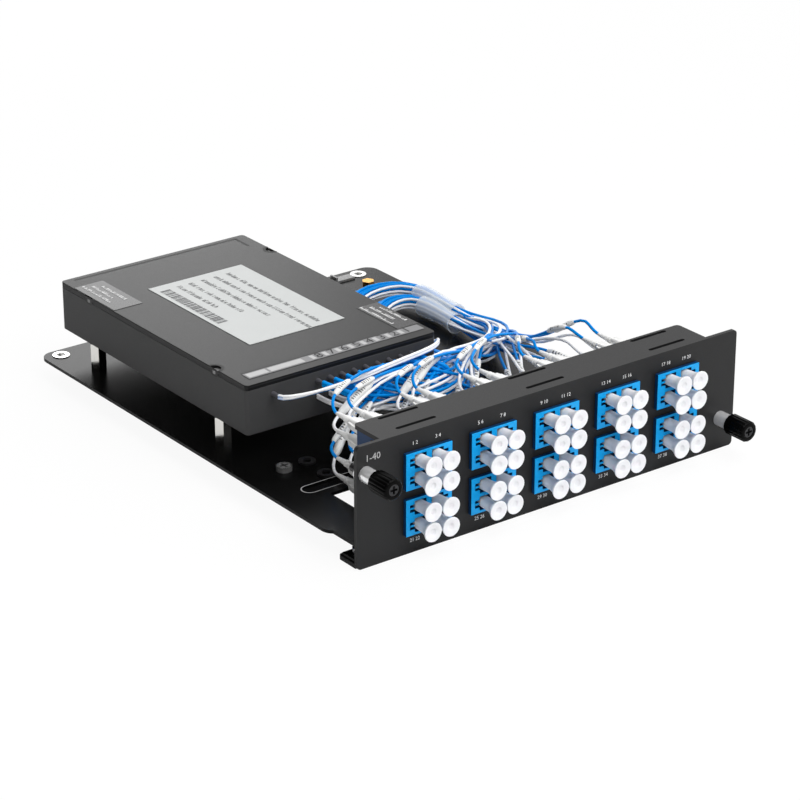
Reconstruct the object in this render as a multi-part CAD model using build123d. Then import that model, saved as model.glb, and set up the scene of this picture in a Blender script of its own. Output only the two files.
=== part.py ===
from build123d import *
import math
import os

# Plug-in fibre multiplexer module. Millimetres, X to the right along the panel, Y back into the rack, Z up.
# The origin is the middle of the front panel's back face, where the module seats against its chassis.

# Front panel, one folded sheet
panel_width = 162.4
panel_height = 43.4
sheet = 1.5
panel_corner = 1.5
top_flange_depth = 15.7
top_flange_left_gap = 10.1
top_flange_right_gap = 13.3
bottom_flange_depth = 11.1
bottom_flange_gap = 0.4
slot_length = 16.0
slot_width = 1.5
slot_pitch_x = 53.6
slot_first_x = 26.8
slot_front_y = 4.4
slot_back_y = 13.9

# Adapter blocks: columns of two duplex adapters side by side, in two rows
columns = 5
rows = 2
block_pitch = 26.7
row_pitch = 16.34
duplex_width = 9.3
duplex_height = 13.0
collar_proud = 1.6
collar_lap = 0.2
adapter_length = 27.0
port_pitch = 6.25
port_axis_offset = 3.45
port_width = 4.7
port_height = 4.9
latch_width = 1.9
latch_height = 2.6
port_depth = 10.5
cut_clearance = 0.1
clip_plate_length = 16.0
clip_plate_height = 9.6
clip_plate_thickness = 0.4

# Dust caps
cap_stem_diameter = 4.3
cap_head_diameter = 6.8
cap_rim_length = 0.9
cap_flare_length = 2.6
cap_reach = 8.7
cap_in_port = 4.0
cap_sides = 8
cap_lean_up = 3.0
cap_lean_out = 1.0

# Rear connectors
plug_width = 4.5
plug_height = 4.6
plug_out = 11.0
latch_thickness = 0.9
boot_root = 3.0
boot_end = 1.8
boot_length = 9.5
boot_collar = 2.0
fibre_diameter = 0.9

# Thumbscrews: left one high, right one low
screw_inset_left = 3.5
screw_height_left = 33.4
screw_inset_right = 6.4
screw_height_right = 11.7
screw_travel = 4.6
ferrule_diameter = 5.4
ferrule_proud = 6.4
ferrule_overlap = 0.4
ferrule_tail = 1.0
ferrule_flange_diameter = 6.6
ferrule_flange = 0.8
shank_diameter = 2.4
shank_clearance = 0.1
thread_diameter = 3.0
thread_length = 4.0
knob_diameter = 7.6
knob_face_diameter = 6.7
knob_length = 9.2
knob_bore_clearance = 0.2
knob_ribs = 16
knob_bevel = 0.8
rib_depth = 0.35
screw_head_diameter = 4.0
washer_thickness = 0.8
washer_sides = 16
recess_depth = 1.2
recess_width = 0.8

# Tray plate
tray_left_overhang = 0.9
tray_width = 151.3
tray_depth = 195.5
tray_below_boots = 0.355
tray_sheet = 1.2
tray_corner = 5.0
tray_notch_depth = 11.7
tray_notch_width = 1.8
plug_notch_left = 17.4
plug_notch_right = 4.4
foot_right_inset = 0.0
plug_notch_clearance = 1.1
foot_depth = 8.0
eyelet_left_x = 6.6
eyelet_right_x = 141.8
eyelet_from_back = 5.0
eyelet_hole = 3.2
eyelet_diameter = 6.4
eyelet_rim = 0.3
eyelet_sides = 16
tray_slot_x = 11.0
tray_slot_y = 42.7
tray_slot_length = 42.0
tray_slot_width = 5.4
tray_slot_depth = 0.6

# Optics box on its standoffs
box_width = 80.0
box_depth = 120.0
box_height = 18.4
box_left = 8.2
box_front = 71.0
box_underside = 10.35
lid_thickness = 2.0
box_corner = 1.5
notch_radius = 2.6
lid_screw_inset = 1.1
lid_screw_head = 2.8
lid_screw_head_height = 1.2
lid_screw_shaft = 1.4
lid_screw_length = 4.0
lid_screw_sides = 10
groove_width = 0.8
groove_depth = 0.4
groove_front_y = 9.2
groove_back_y = 2.0
groove_inset = 4.6
groove_return = 9.3
post_inset_x = 3.0
post_inset_y = 19.5
standoff_width = 5.5
standoff_screw_head = 5.0
standoff_screw_head_height = 1.3
thread_core = 2.5
shaft_sides = 8
outlet_first = 29.2
outlet_pitch = 5.0
outlet_count = 9
input_outlet = 10.8
outlet_height = 13.0
tip_diameter = 1.9
tip_length = 3.6
tip_sides = 8
label_thickness = 0.15
label_width = 40.5
label_length = 65.0
label_centre_x = 41.4
label_centre_y = 61.5
strip_left = 11.5
strip_width = 63.0
strip_depth = 3.0
strip_from_front = 3.6
seal_width = 13.0
seal_length = 14.0
seal_back = (0.9, 93.5)
seal_front = (66.0, 15.0)

# Small fittings on the tray, from its front left corner and the panel's back face
post_x = 138.7
post_y = 179.7
post_width = 4.3
post_height = 1.6
clip_x = 133.6
clip_y = 189.5
clip_length = 9.0
clip_width = 4.0
clip_thickness = 0.8
spare_screw_x = 15.4
spare_screw_y = 60.0
spare_screw_head = 5.6
spare_screw_height = 1.8
nut_places = ((25.3, 60.6), (24.9, 49.0))
nut_diameter = 6.2
nut_bore = 3.2
nut_height = 0.7

# Values worked out from the sizes above
left_edge = -panel_width / 2
right_edge = panel_width / 2
bottom_edge = -panel_height / 2
top_edge = panel_height / 2
front_face = -sheet
tray_left = left_edge - tray_left_overhang
lowest_port_z = -(rows - 1) / 2 * row_pitch - port_pitch / 2
tray_top_z = lowest_port_z - boot_root / 2 - tray_below_boots
tray_under_z = tray_top_z - tray_sheet
box_x = tray_left + box_left
box_y = box_front
box_z = tray_top_z + box_underside
box_top_z = box_z + box_height
lid_z = box_top_z - lid_thickness
outlet_z = box_z + outlet_height
adapter_front = front_face - collar_proud
adapter_rear = adapter_front + adapter_length
plug_end = adapter_rear + plug_out
boot_tip = plug_end + boot_length


def block(x0, x1, y0, y1, z0, z1):
    """A box between two corners."""
    return Pos((x0 + x1) / 2, (y0 + y1) / 2, (z0 + z1) / 2) * Box(x1 - x0, y1 - y0, z1 - z0)


def rod_y(x, z, y0, y1, diameter):
    """A round bar along Y between two planes."""
    return Pos(x, (y0 + y1) / 2, z) * Rot(90, 0, 0) * Cylinder(diameter / 2, y1 - y0)


def rod_z(x, y, z0, z1, diameter):
    """A round bar along Z between two planes."""
    return Pos(x, y, (z0 + z1) / 2) * Cylinder(diameter / 2, z1 - z0)


def hex_z(x, y, z0, z1, across_flats):
    """A hexagon bar along Z between two planes."""
    return extrude(Pos(x, y, z0) * RegularPolygon(across_flats / 2, 6, major_radius=False), z1 - z0)


def prism_z(x, y, z0, z1, diameter, sides):
    """A bar of few sides along Z."""
    return extrude(Pos(x, y, z0) * RegularPolygon(diameter / 2, sides), z1 - z0)


def slot_plate(x, y, z0, z1, length, width):
    """A bar with round ends, lying along X, for cutting a slot down through a sheet."""
    return extrude(Pos(x, y, z0) * SlotOverall(length, width), z1 - z0)


def save(name, shape):
    """Write one node."""
    shape.label = name
    export_step(shape, f"parts/{name}.step")


# Where the blocks, ports and thumbscrews are
def block_centre(row, column):
    """Centre of an adapter block on the panel. Row 0 is the upper one."""
    x = (column - (columns - 1) / 2) * block_pitch
    z = ((rows - 1) / 2 - row) * row_pitch
    return x, z


def port_axes(row, column):
    """The axes of a block's four ports, with the side that its latch groove faces."""
    x, z = block_centre(row, column)
    axes = []
    for side in (-1, 1):
        for level in (1, -1):
            axes.append((x + side * port_axis_offset, z + level * port_pitch / 2, side))
    return axes


thumbscrews = {
    "left": (left_edge + screw_inset_left, bottom_edge + screw_height_left),
    "right": (right_edge - screw_inset_right, bottom_edge + screw_height_right),
}


# Front panel
def front_panel():
    """Face and flanges folded from one sheet, with every hole that its fittings need."""
    outline = Rectangle(panel_width, panel_height)
    outline = fillet(outline.vertices(), panel_corner)
    panel = extrude(Plane.XZ.offset(-front_face) * outline, -sheet)
    top = block(left_edge + top_flange_left_gap, right_edge - top_flange_right_gap,
                front_face, front_face + top_flange_depth, top_edge - sheet, top_edge)
    bottom = block(left_edge + bottom_flange_gap, right_edge - bottom_flange_gap,
                   0, front_face + bottom_flange_depth, bottom_edge, bottom_edge + sheet)
    top = fillet(top.edges().filter_by(Axis.Z).group_by(Axis.Y)[-1], panel_corner)
    bottom = fillet(bottom.edges().filter_by(Axis.Z).group_by(Axis.Y)[-1], panel_corner)
    panel = panel + top + bottom
    half_cut = duplex_width - collar_lap / 2
    high_cut = duplex_height / 2 - collar_lap / 2
    for row in range(rows):
        for column in range(columns):
            x, z = block_centre(row, column)
            panel -= block(x - half_cut, x + half_cut, front_face - 1, 1, z - high_cut, z + high_cut)
    for group in range(3):
        x = left_edge + slot_first_x + group * slot_pitch_x
        for y in (slot_front_y, slot_back_y):
            panel -= slot_plate(x, front_face + y, top_edge - 2 * sheet, top_edge + 1, slot_length, slot_width)
    for x, z in thumbscrews.values():
        panel -= rod_y(x, z, front_face - 1, 1, ferrule_diameter)
    for x in foot_screw_places():
        panel -= rod_z(x, foot_screw_y, bottom_edge - 1, bottom_edge + sheet + 1, foot_screw_diameter)
    return panel


# Screws that hold the tray's foot on the bottom flange
foot_screw_diameter = 2.5
foot_screw_head = 4.0
foot_screw_head_height = 1.5
foot_screw_y = bottom_flange_depth - sheet - 4.4
foot_screw_inset = 4.6


def foot_screw_places():
    """X of the foot screws, two in the left arm's wide foot and one in the right arm's."""
    left_arm = tray_left + tray_notch_width
    left_arm_end = tray_left + plug_notch_left
    right_arm = tray_left + tray_width - plug_notch_right
    right_arm_end = tray_left + tray_width - foot_right_inset
    return [left_arm + foot_screw_inset, left_arm_end - foot_screw_inset, (right_arm + right_arm_end) / 2]


# Adapters
def duplex_adapter(x, z, side):
    """One duplex adapter: a collar on the panel, a body through it and two ports at each end."""
    cx = x + side * duplex_width / 2
    body_half = duplex_width / 2 - collar_lap / 2 - cut_clearance
    body_high = duplex_height / 2 - collar_lap / 2 - cut_clearance
    adapter = block(cx - duplex_width / 2, cx + duplex_width / 2, adapter_front, front_face,
                    z - duplex_height / 2, z + duplex_height / 2)
    adapter += block(cx - body_half, cx + body_half, front_face, adapter_rear, z - body_high, z + body_high)
    for level in (1, -1):
        px = x + side * port_axis_offset
        pz = z + level * port_pitch / 2
        reach = port_width / 2 + latch_width
        for start, end in ((adapter_front - 1, adapter_front + port_depth),
                           (adapter_rear - port_depth, adapter_rear + 1)):
            mouth = block(px - port_width / 2, px + port_width / 2, start, end,
                          pz - port_height / 2, pz + port_height / 2)
            low, high = sorted((px, px + side * reach))
            groove = block(low, high, start, end, pz - latch_height / 2, pz + latch_height / 2)
            adapter -= mouth + groove
    return adapter


def adapter_block(row, column):
    """The two duplex adapters of one block."""
    x, z = block_centre(row, column)
    return Compound(children=[duplex_adapter(x, z, side) for side in (-1, 1)])


def adapter_clips(row, column):
    """The two spring plates on the outer sides of one block, behind the panel."""
    x, z = block_centre(row, column)
    body_half = duplex_width - collar_lap / 2 - cut_clearance
    plates = []
    for side in (-1, 1):
        low, high = sorted((x + side * body_half, x + side * (body_half + clip_plate_thickness)))
        plates.append(block(low, high, 0, clip_plate_length, z - clip_plate_height / 2, z + clip_plate_height / 2))
    return plates


def prism_y(x, z, y0, y1, diameter, sides):
    """A bar of few sides along Y, for small pieces that repeat many times."""
    return extrude(Plane.XZ.offset(-y1) * Pos(x, z) * RegularPolygon(diameter / 2, sides), y1 - y0)


def dust_cap(x, z, side, level):
    """A moulded cap: a stem in the port that flares into the head, leaned so that neighbouring heads clear."""
    pivot = adapter_front + cap_in_port / 2
    rim = front_face - cap_reach - pivot
    neck = rim + cap_rim_length + cap_flare_length
    slope = (cap_head_diameter - cap_stem_diameter) / 2 * math.cos(math.pi / cap_sides)
    head = prism_y(0, 0, rim, neck, cap_head_diameter, cap_sides)
    back = head.faces().sort_by(Axis.Y)[-1]
    head = chamfer(back.edges(), slope, cap_flare_length, reference=back)
    cap = head + prism_y(0, 0, neck, cap_in_port / 2, cap_stem_diameter, cap_sides)
    return Pos(x, pivot, z) * Rot(-level * cap_lean_up, 0, side * cap_lean_out) * cap


def dust_caps(row, column):
    """The four caps of one block."""
    return Compound(children=[dust_cap(x, z, side, 1 - index % 2 * 2)
                              for index, (x, z, side) in enumerate(port_axes(row, column))])


# Rear connectors
def rear_plug(x, z, side):
    """A connector body in a rear port, with its latch arm on the groove side."""
    body = block(x - plug_width / 2, x + plug_width / 2, adapter_rear - port_depth + 0.5, plug_end,
                 z - plug_height / 2, z + plug_height / 2)
    low, high = sorted((x + side * plug_width / 2, x + side * (plug_width / 2 + latch_thickness)))
    arm = block(low, high, adapter_rear - 1.0, plug_end - 1.5, z - 1.0, z + 1.0)
    return body + arm


def rear_boot(x, z):
    """A boot that tapers from the connector body down to the fibre."""
    half = boot_root / 2
    boot = block(x - half, x + half, plug_end, boot_tip, z - half, z + half)
    taper = (boot_root - boot_end) / 2
    return chamfer(boot.faces().sort_by(Axis.Y)[-1].edges(), taper, boot_length - boot_collar,
                   reference=boot.faces().sort_by(Axis.Y)[-1])


def row_of(make, row):
    """One piece for each port of a row."""
    pieces = []
    for column in range(columns):
        for x, z, side in port_axes(row, column):
            pieces.append(make(x, z, side))
    return Compound(children=pieces)


# Thumbscrews
def ribbed_outline():
    """The knob's outline, with a rib at every other corner."""
    corners = []
    for i in range(2 * knob_ribs):
        radius = knob_diameter / 2 - (i % 2) * rib_depth
        turn = math.pi * i / knob_ribs
        corners.append((radius * math.cos(turn), radius * math.sin(turn)))
    return make_face(Polyline(*corners, close=True))


def thumbscrew(side):
    """Ferrule, thrust washer, screw and knob of one captive thumbscrew, drawn out as the photograph shows it."""
    x, z = thumbscrews[side]
    hole = shank_diameter + 2 * shank_clearance
    ferrule = rod_y(x, z, front_face - ferrule_proud, ferrule_tail, ferrule_diameter)
    ferrule += prism_y(x, z, 0, ferrule_flange, ferrule_flange_diameter, 12)
    ferrule -= rod_y(x, z, front_face - ferrule_proud - 1, ferrule_tail + 1, hole)
    knob_back = front_face - ferrule_proud + ferrule_overlap
    knob_face = knob_back - knob_length
    bore_end = knob_back - ferrule_overlap - screw_travel - washer_thickness - shank_clearance
    bore = ferrule_diameter + 2 * knob_bore_clearance
    washer = prism_y(x, z, bore_end, bore_end + washer_thickness, ferrule_diameter, washer_sides)
    washer -= rod_y(x, z, bore_end - 1, bore_end + washer_thickness + 1, hole)
    screw = rod_y(x, z, knob_face + 0.2, bore_end, screw_head_diameter)
    screw += rod_y(x, z, bore_end, ferrule_tail + 0.3, shank_diameter)
    screw += rod_y(x, z, ferrule_tail + 0.3, ferrule_tail + 0.3 + thread_length, thread_diameter)
    for turn in (0, 90):
        bar = Box(screw_head_diameter * 0.7, recess_depth * 2, recess_width)
        screw -= Pos(x, knob_face + 0.2, z) * Rot(0, turn, 0) * bar
    face = Plane(origin=(x, knob_face + knob_bevel, z), z_dir=(0, -1, 0))
    body = Plane(origin=(x, knob_face + knob_bevel, z), z_dir=(0, 1, 0))
    bevel = math.degrees(math.atan2((knob_diameter - knob_face_diameter) / 2, knob_bevel))
    knob = extrude(body * ribbed_outline(), knob_length - knob_bevel)
    knob += extrude(face * ribbed_outline(), knob_bevel, taper=bevel)
    knob -= rod_y(x, z, knob_face - 1, knob_back + 1, screw_head_diameter)
    knob -= rod_y(x, z, bore_end, knob_back + 1, bore)
    return {"ferrule": ferrule, "thrust_washer": washer, "screw": screw, "knob": knob}


# Tray plate
def tray_plate():
    """A flat plate, notched for the rear plugs, whose two arms fold into feet on the panel's bottom flange."""
    plate = block(tray_left, tray_left + tray_width, tray_notch_depth, tray_depth, tray_under_z, tray_top_z)
    plate = fillet(plate.edges().filter_by(Axis.Z), tray_corner)
    front = block(tray_left + tray_notch_width, tray_left + tray_width - foot_right_inset,
                  0, tray_notch_depth + tray_corner, tray_under_z, tray_top_z)
    foot_bottom = bottom_edge + sheet
    foot = block(tray_left + tray_notch_width, tray_left + tray_width - foot_right_inset,
                 0, foot_depth, foot_bottom, foot_bottom + tray_sheet)
    web = block(tray_left + tray_notch_width, tray_left + tray_width - foot_right_inset,
                0, tray_sheet, foot_bottom, tray_top_z)
    plate = plate + front + foot + web
    plate -= block(tray_left + plug_notch_left, tray_left + tray_width - plug_notch_right,
                   -1, plug_end + plug_notch_clearance, bottom_edge, top_edge)
    for x in eyelet_places():
        plate -= rod_z(x, tray_depth - eyelet_from_back, tray_under_z - 1, tray_top_z + 1, eyelet_hole + 1.0)
    for x in foot_screw_places():
        plate -= rod_z(x, foot_screw_y, foot_bottom - 1, foot_bottom + tray_sheet + 1, foot_screw_diameter)
    for x, y in standoff_places():
        plate -= rod_z(x, y, tray_under_z - 1, tray_top_z + 1, thread_core)
    slot_x = tray_left + tray_slot_x + tray_slot_length / 2
    plate -= slot_plate(slot_x, tray_slot_y, tray_top_z - tray_slot_depth, tray_top_z + 1,
                        tray_slot_length, tray_slot_width)
    return plate


def eyelet_places():
    """X of the two rear eyelets."""
    return [tray_left + eyelet_left_x, tray_left + eyelet_right_x]


def eyelet(x):
    """A plated ring pressed through the tray, with a thin rim on its upper face."""
    y = tray_depth - eyelet_from_back
    ring = prism_z(x, y, tray_under_z, tray_top_z, eyelet_hole + 1.0, eyelet_sides)
    ring += prism_z(x, y, tray_top_z, tray_top_z + eyelet_rim, eyelet_diameter, eyelet_sides)
    return ring - rod_z(x, y, tray_under_z - 1, tray_top_z + 1, eyelet_hole)


def foot_screw(x):
    """A hexagon screw down through the foot into the bottom flange."""
    seat = bottom_edge + sheet + tray_sheet
    head = hex_z(x, foot_screw_y, seat, seat + foot_screw_head_height, foot_screw_head)
    return head + prism_z(x, foot_screw_y, bottom_edge, seat, foot_screw_diameter, shaft_sides)


# Standoffs below the box
def standoff_places():
    """The four standoffs, in line with the box's corner screws."""
    places = []
    for x in (box_x + post_inset_x, box_x + box_width - post_inset_x):
        for y in (box_y + post_inset_y, box_y + box_depth - post_inset_y):
            places.append((x, y))
    return places


def standoff(x, y):
    """A hexagon spacer between tray and box."""
    return hex_z(x, y, tray_top_z, box_z, standoff_width)


def standoff_screw(x, y):
    """A screw from below the tray, up against the standoff."""
    head = hex_z(x, y, tray_under_z - standoff_screw_head_height, tray_under_z, standoff_screw_head)
    return head + prism_z(x, y, tray_under_z, tray_top_z, thread_core, shaft_sides)


# Optics box
def notch_places():
    """The notch axes, on the box's long edges beside each standoff."""
    places = []
    for x in (box_x, box_x + box_width):
        for y in (box_y + post_inset_y, box_y + box_depth - post_inset_y):
            places.append((x, y))
    return places


def box_base():
    """The moulded body, sealed and solid inside."""
    body = block(box_x, box_x + box_width, box_y, box_y + box_depth, box_z, lid_z)
    body = fillet(body.edges().filter_by(Axis.Z), box_corner)
    for x, y in lid_screw_places():
        body -= prism_z(x, y, lid_z - lid_screw_length, lid_z + 1, lid_screw_shaft, shaft_sides)
    return body


def box_lid():
    """The lid: a plate flush with the sides, with a groove near each end and a notch for each screw."""
    lid = block(box_x, box_x + box_width, box_y, box_y + box_depth, lid_z, box_top_z)
    lid = fillet(lid.edges().filter_by(Axis.Z), box_corner)
    for x, y in notch_places():
        lid -= rod_z(x, y, lid_z - 1, box_top_z + 1, 2 * notch_radius)
    floor = box_top_z - groove_depth
    right = box_x + box_width - groove_inset
    back = box_y + box_depth - groove_back_y
    for y in (box_y + groove_front_y, back - groove_width):
        lid -= block(box_x + groove_inset, right, y, y + groove_width, floor, box_top_z + 1)
    lid -= block(right - groove_width, right, back - groove_return, back, floor, box_top_z + 1)
    return lid


def lid_screw_places():
    """The screw axes, one inside each notch."""
    middle = box_x + box_width / 2
    return [(x + math.copysign(lid_screw_inset, middle - x), y) for x, y in notch_places()]


def lid_screw(x, y):
    """A small screw down into the base, its head sunk in the lid's notch."""
    head = prism_z(x, y, lid_z, lid_z + lid_screw_head_height, lid_screw_head, lid_screw_sides)
    return head + prism_z(x, y, lid_z - lid_screw_length, lid_z, lid_screw_shaft, shaft_sides)


def outlet_places():
    """X of the outlets in the box's front wall: one input and a row of outputs."""
    outputs = [box_x + outlet_first + i * outlet_pitch for i in range(outlet_count)]
    return [box_x + input_outlet] + outputs


def outlet_tip(x):
    """A strain relief tip that stands out of the front wall."""
    return prism_y(x, outlet_z, box_y - tip_length, box_y, tip_diameter, tip_sides)


def flat_label(x, y, width, length):
    """A label stuck on the lid, measured from the box's front left corner."""
    x0 = box_x + x
    y0 = box_y + y
    return block(x0, x0 + width, y0, y0 + length, box_top_z, box_top_z + label_thickness)


# Small fittings on the tray
def tray_post():
    """A short hexagon post for earthing."""
    return hex_z(tray_left + post_x, post_y, tray_top_z, tray_top_z + post_height, post_width)


def tray_clip():
    """A flat metal tab beside the right eyelet, with one end turned up."""
    x = tray_left + clip_x
    tab = block(x - clip_length / 2, x + clip_length / 2, clip_y - clip_width / 2, clip_y + clip_width / 2,
                tray_top_z, tray_top_z + clip_thickness)
    return tab + block(x - clip_length / 2, x - clip_length / 2 + clip_thickness, clip_y - clip_width / 2,
                       clip_y + clip_width / 2, tray_top_z, tray_top_z + clip_width * 0.6)


def spare_screw():
    """The pan-head screw in front of the box."""
    x = tray_left + spare_screw_x
    return prism_z(x, spare_screw_y, tray_top_z, tray_top_z + spare_screw_height, spare_screw_head, 16)


def clinch_nut(x, y):
    """A nut pressed into the tray, standing a little proud."""
    ring = prism_z(tray_left + x, y, tray_top_z, tray_top_z + nut_height, nut_diameter, 16)
    return ring - prism_z(tray_left + x, y, tray_top_z - 1, tray_top_z + nut_height + 1, nut_bore, 16)


# Harness: each row is a distance right of the box's right side, back from its front and up from the tray
bundle_diameter = 4.6
bundle_sides = 10
upper_bundle_offsets = (
    (-50.1, -18.0, 16.65), (-18.1, -19.5, 16.15), (-0.1, -15.0, 16.15), (8.1, 1.0, 14.65), (8.4, 27.0, 10.15),
    (9.9, 57.0, 5.15), (18.9, 81.0, 3.65), (35.9, 92.0, 3.65), (53.9, 81.0, 4.65), (57.4, 55.0, 7.65))
lower_bundle_offsets = (
    (-44.1, -17.0, 10.65), (-14.1, -18.0, 10.15), (2.9, -13.0, 9.15), (13.9, 4.0, 8.15), (14.4, 27.0, 3.35),
    (16.4, 53.0, 2.75), (24.9, 71.0, 2.75), (37.9, 79.5, 2.85), (48.9, 72.0, 3.55), (50.4, 49.0, 5.65))
input_offsets = ((-45.1, -11.5, 24.15), (-26.1, -10.0, 25.65), (-4.1, -6.0, 25.15), (5.6, 6.0, 22.15))
input_diameter = 1.6
input_lead = 7.0
white_outlet_drop = 5.9
tail_diameter = 1.6
tail_sides = 4
tail_lead = 8.0
tail_turn = (9.0, 6.0, 3.6)
tail_reach = 20.0
boot_lead = 7.0
boot_rise = 3.0
over_outlets = 18.0
over_outlets_z = 11.0
beside_box = 31.0
beside_box_z = 7.0
turn_before_mouth = (-5.0, -34.0, 3.0)
lane_pitch = 1.1
level_pitch = 1.2
marker_diameter = 2.0
marker_bore = 1.0
marker_start = 4.2
marker_length = 11.0
marker_sides = 6
clear_sleeve_diameter = 6.6
clear_sleeve_bore = 4.9
clear_sleeve_length = 15.0
clear_sleeve_sides = 12
sleeve_before_mouth = 0.8


def harness_route(offsets):
    """Points of a route, placed from the box and the tray."""
    return [(box_x + box_width + across, box_y + back, tray_top_z + up) for across, back, up in offsets]


def tube(points, diameter, sides):
    """A cord through the points: straight runs and arcs as large as the runs allow."""
    corners = [Vector(*point) for point in points]
    runs = [end - start for start, end in zip(corners, corners[1:])]
    radii = []
    for before, after in zip(runs, runs[1:]):
        half_turn = math.radians(before.get_angle(after)) / 2
        radii.append(0.45 * min(before.length, after.length) / math.tan(half_turn))
    path = FilletPolyline(*corners, radius=radii)
    start = Plane(origin=corners[0], z_dir=runs[0])
    cord = sweep(start * RegularPolygon(diameter / 2, sides), path=path)
    length = sum(edge.length for edge in path.edges())
    print("cord", round(length, 1), "mm, smallest radius", round(min(radii), 1))
    return cord


def sleeve(start, end, ahead, length, diameter, bore, sides):
    """A straight tube on the run between two points of a route, beginning a little ahead of the first."""
    run = (Vector(*end) - Vector(*start)).normalized()
    place = Plane(origin=Vector(*start) + run * ahead, z_dir=run)
    return extrude(place * RegularPolygon(diameter / 2, sides), length) - extrude(
        place * RegularPolygon(bore / 2, sides), length)


def outlet_tail(x, start_y, z, route):
    """The fibres of one outlet: straight out, down to the right and into the bundle."""
    join_x = min(x + tail_reach, route[2][0])
    ahead = [i for i in range(1, len(route)) if route[i][0] >= join_x][0]
    start, end = route[ahead - 1], route[ahead]
    share = (join_x - start[0]) / (end[0] - start[0])
    join = tuple(a + share * (b - a) for a, b in zip(start, end))
    lead = (x, box_y - tail_lead, z)
    turn = (x + min(tail_turn[0], (join_x - x) / 2), lead[1] - tail_turn[1], z - tail_turn[2])
    return [(x, start_y, z), lead, turn, join]


def input_route(route):
    """The input fibres: along the box's front, over the other outlets and round its corner into the bundle."""
    x = outlet_places()[0]
    start = [(x, box_y - tip_length, outlet_z), (x, box_y - input_lead, outlet_z)]
    return start + harness_route(input_offsets) + [route[4]]


def fan_route(column, x, z, port, route):
    """From a boot back to its bundle's mouth: out and up, across behind the panel and round into the mouth."""
    end = route[-1]
    spread = (port - 1.5) * level_pitch
    lane = (column - (columns - 1) / 2) * lane_pitch
    mouth = (end[0] + lane, end[1], end[2] + spread)
    across = mouth[0] - x
    points = [(x, boot_tip, z)]
    if across > 20:
        points.append((x + 0.03 * across, boot_tip + boot_lead, z + boot_rise))
        if across > 45:
            points.append((x + 0.3 * across, boot_tip + over_outlets, 0.2 * z + over_outlets_z))
        points.append((x + 0.68 * across, boot_tip + beside_box + lane, 0.15 * z + beside_box_z + spread))
        points.append(tuple(a + b for a, b in zip(mouth, turn_before_mouth)))
    else:
        points.append((x - 1.0, boot_tip + 1.5 * boot_lead, z + boot_rise))
        points.append((x + 2.0, boot_tip + beside_box, 0.3 * z + boot_rise))
    points.append(mouth)
    return points


# Write every node
os.makedirs("parts", exist_ok=True)
save("front_panel", front_panel())
save("tray_plate", tray_plate())
for row, row_name in enumerate(("upper", "lower")):
    for column in range(columns):
        save(f"adapters_{row_name}_{column + 1}", adapter_block(row, column))
        save(f"dust_caps_{row_name}_{column + 1}", dust_caps(row, column))
    save(f"rear_plugs_{row_name}", row_of(rear_plug, row))
    save(f"rear_boots_{row_name}", row_of(lambda x, z, side: rear_boot(x, z), row))
clips = [plate for row in range(rows) for column in range(columns) for plate in adapter_clips(row, column)]
save("adapter_clips", Compound(children=clips))
for side in thumbscrews:
    for name, piece in thumbscrew(side).items():
        save(f"{side}_{name}", piece)
save("tray_eyelets", Compound(children=[eyelet(x) for x in eyelet_places()]))
save("foot_screws", Compound(children=[foot_screw(x) for x in foot_screw_places()]))
save("standoffs", Compound(children=[standoff(x, y) for x, y in standoff_places()]))
save("standoff_screws", Compound(children=[standoff_screw(x, y) for x, y in standoff_places()]))
save("box_base", box_base())
save("box_lid", box_lid())
save("lid_screws", Compound(children=[lid_screw(x, y) for x, y in lid_screw_places()]))
save("outlet_tips", Compound(children=[outlet_tip(x) for x in outlet_places()]))
save("box_label", flat_label(label_centre_x - label_width / 2, label_centre_y - label_length / 2,
                             label_width, label_length))
save("port_strip", flat_label(strip_left, strip_from_front, strip_width, strip_depth))
save("seal_labels", Compound(children=[flat_label(*seal_back, seal_width, seal_length),
                                       flat_label(*seal_front, seal_width, seal_length)]))
save("tray_post", tray_post())
save("tray_clip", tray_clip())
save("spare_screw", spare_screw())
save("clinch_nuts", Compound(children=[clinch_nut(x, y) for x, y in nut_places]))
upper_route = harness_route(upper_bundle_offsets)
lower_route = harness_route(lower_bundle_offsets)
save("upper_bundle", tube(upper_route, bundle_diameter, bundle_sides))
save("lower_bundle", tube(lower_route, bundle_diameter, bundle_sides))
save("input_fibres", tube(input_route(upper_route), input_diameter, tail_sides))
blue_tails = [outlet_tail(x, box_y - tip_length, outlet_z, upper_route) for x in outlet_places()[1:]]
white_tails = [outlet_tail(x, box_y, outlet_z - white_outlet_drop, lower_route) for x in outlet_places()[1:]]
save("blue_tails", Compound(children=[tube(points, tail_diameter, tail_sides) for points in blue_tails]))
save("white_tails", Compound(children=[tube(points, tail_diameter, tail_sides) for points in white_tails]))
clear_sleeves = [sleeve(route[-1], route[-2], sleeve_before_mouth, clear_sleeve_length, clear_sleeve_diameter,
                        clear_sleeve_bore, clear_sleeve_sides) for route in (upper_route, lower_route)]
save("clear_sleeves", Compound(children=clear_sleeves))
markers = []
fans = {"blue": [], "white": []}
for row, route in enumerate((upper_route, lower_route)):
    for column in range(columns):
        for index, (x, z, side) in enumerate(port_axes(row, column)):
            points = fan_route(column, x, z, index, route)
            colour = "blue" if index % 2 == 0 else "white"
            fans[colour].append(tube(points, fibre_diameter, tail_sides))
            if colour == "blue":
                markers.append(sleeve(points[1], points[2], marker_start, marker_length, marker_diameter,
                                      marker_bore, marker_sides))
for colour, tubes in fans.items():
    save(f"{colour}_fibres", Compound(children=tubes))
save("marker_sleeves", Compound(children=markers))
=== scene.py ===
import math

import bmesh
import bpy
import numpy as np
from mathutils import Matrix, Vector


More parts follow.
